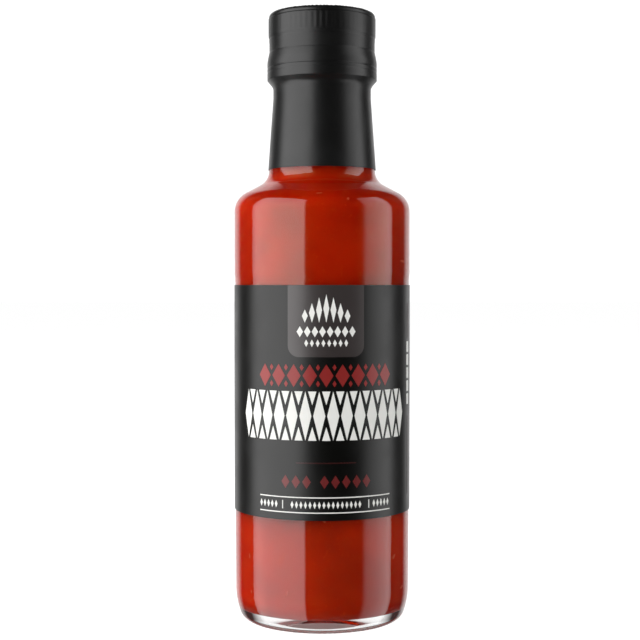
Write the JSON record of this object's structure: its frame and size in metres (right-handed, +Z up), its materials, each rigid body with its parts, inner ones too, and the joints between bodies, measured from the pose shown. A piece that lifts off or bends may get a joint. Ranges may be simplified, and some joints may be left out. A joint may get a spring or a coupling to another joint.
{
  "type": "hot sauce bottle",
  "caption": "Small round clear glass bottle full of red hot sauce, with a black wrap label and a black shrink capsule drawn over its screw cap and tapered neck.",
  "frame": {"origin": "centre of the base, on the surface that the bottle stands on", "axes": "+Z up along the bottle's axis; the front of the label faces -Y and its open seam is at +Y"},
  "size_m": [0.042, 0.042, 0.1449],
  "materials": {
    "clear_glass": "clear, polished",
    "red_sauce": "smooth, wet, opaque",
    "black_label": "coated, satin, printed with plain fields of white, red and warm grey",
    "cap_plastic": "moulded, matte",
    "capsule_film": "shrunk film, satin"
  },
  "bodies": {
    "root": {"glass_bottle": "clear_glass", "hot_sauce": "red_sauce", "wrap_label": "black_label", "screw_cap": "cap_plastic", "shrink_capsule": "capsule_film"}
  },
  "joints": []
}
